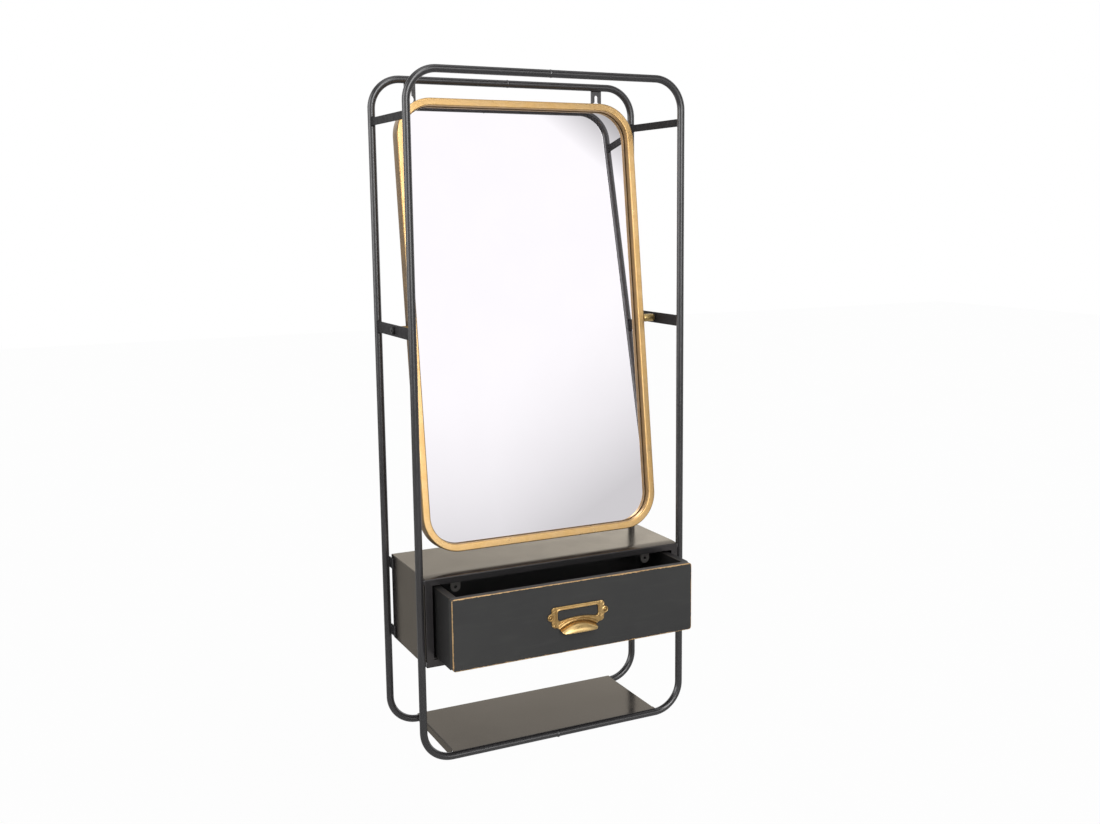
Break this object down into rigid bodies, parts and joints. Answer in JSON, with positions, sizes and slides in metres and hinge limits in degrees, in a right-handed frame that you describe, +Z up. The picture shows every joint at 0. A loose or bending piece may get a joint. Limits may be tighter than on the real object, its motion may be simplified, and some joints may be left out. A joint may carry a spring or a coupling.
{
  "type": "wall mirror with drawer",
  "caption": "Tilting round-cornered mirror in a double frame of dark steel tube, over a sheet-metal cabinet with a sliding drawer and an open shelf.",
  "frame": {"origin": "on the wall's plane, midway between the two screws that the keyholes hang on", "axes": "+Z up, +X to the viewer's right, -Y out of the wall towards the viewer; the pictured pose is the rest pose, with the mirror's top tilted 7 degrees to the wall and the drawer 60 mm open"},
  "size_m": [0.4, 0.2228, 0.9015],
  "materials": {
    "frame_paint": "dark anthracite satin paint on steel tube",
    "cabinet_paint": "dark anthracite lacquer with a warm metallic sheen on sheet steel",
    "drawer_paint": "matt charcoal paint on board, rubbed through to a gold undercoat along the edges",
    "gold_finish": "antique gold paint, satin",
    "pivot_brass": "satin brass",
    "black_steel": "black oxide steel",
    "silvered_glass": "silvered float glass",
    "board": "brown hardboard"
  },
  "bodies": {
    "frame": {"front_loop_left": "frame_paint", "front_loop_right": "frame_paint", "wall_loop_left": "frame_paint", "wall_loop_right": "frame_paint", "front_weld_top": "frame_paint", "front_weld_bottom": "frame_paint", "wall_weld_top": "frame_paint", "wall_weld_bottom": "frame_paint", "upper_spreader_left": "frame_paint", "upper_spreader_right": "frame_paint", "pivot_bar_left": "frame_paint", "pivot_bar_right": "frame_paint", "hanger_plate_left": "frame_paint", "hanger_plate_right": "frame_paint", "spacer_tab_top_left": "frame_paint", "spacer_tab_top_right": "frame_paint", "spacer_tab_bottom_left": "frame_paint", "spacer_tab_bottom_right": "frame_paint", "shelf": "cabinet_paint", "cabinet_top": "cabinet_paint", "cabinet_bottom": "cabinet_paint", "cabinet_side_left": "cabinet_paint", "cabinet_side_right": "cabinet_paint", "cabinet_back": "cabinet_paint", "face_rail_top": "cabinet_paint", "face_rail_bottom": "cabinet_paint", "face_stile_left": "cabinet_paint", "face_stile_right": "cabinet_paint", "drawer_runner_left": "cabinet_paint", "drawer_runner_right": "cabinet_paint", "stop_lug_left": "cabinet_paint", "stop_lug_right": "cabinet_paint"},
    "mirror": {"mirror_rim": "gold_finish", "mirror_glass": "silvered_glass", "mirror_backboard": "board", "hold_tab_upper_left": "black_steel", "hold_tab_upper_right": "black_steel", "hold_tab_lower_left": "black_steel", "hold_tab_lower_right": "black_steel", "hold_tab_top": "black_steel", "hold_tab_bottom": "black_steel", "pivot_bolt_left": "black_steel", "pivot_bolt_right": "black_steel", "pivot_washer_left": "black_steel", "pivot_washer_right": "black_steel", "pivot_spacer_left": "pivot_brass", "pivot_spacer_right": "pivot_brass"},
    "drawer": {"drawer_front": "drawer_paint", "drawer_side_left": "drawer_paint", "drawer_side_right": "drawer_paint", "drawer_back": "drawer_paint", "drawer_bottom": "drawer_paint", "drawer_pull": "gold_finish", "pull_screw_left": "gold_finish", "pull_screw_right": "gold_finish"}
  },
  "joints": [
    {"name": "mirror_tilt", "type": "hinge", "parent": "frame", "child": "mirror", "pos_m": [0, -0.075, -0.313], "axis": [1, 0, 0], "range_deg": [-3.5, 18]},
    {"name": "drawer_slide", "type": "slide", "parent": "frame", "child": "drawer", "axis": [0, -1, 0], "range_m": [-0.06, 0.0455]}
  ]
}
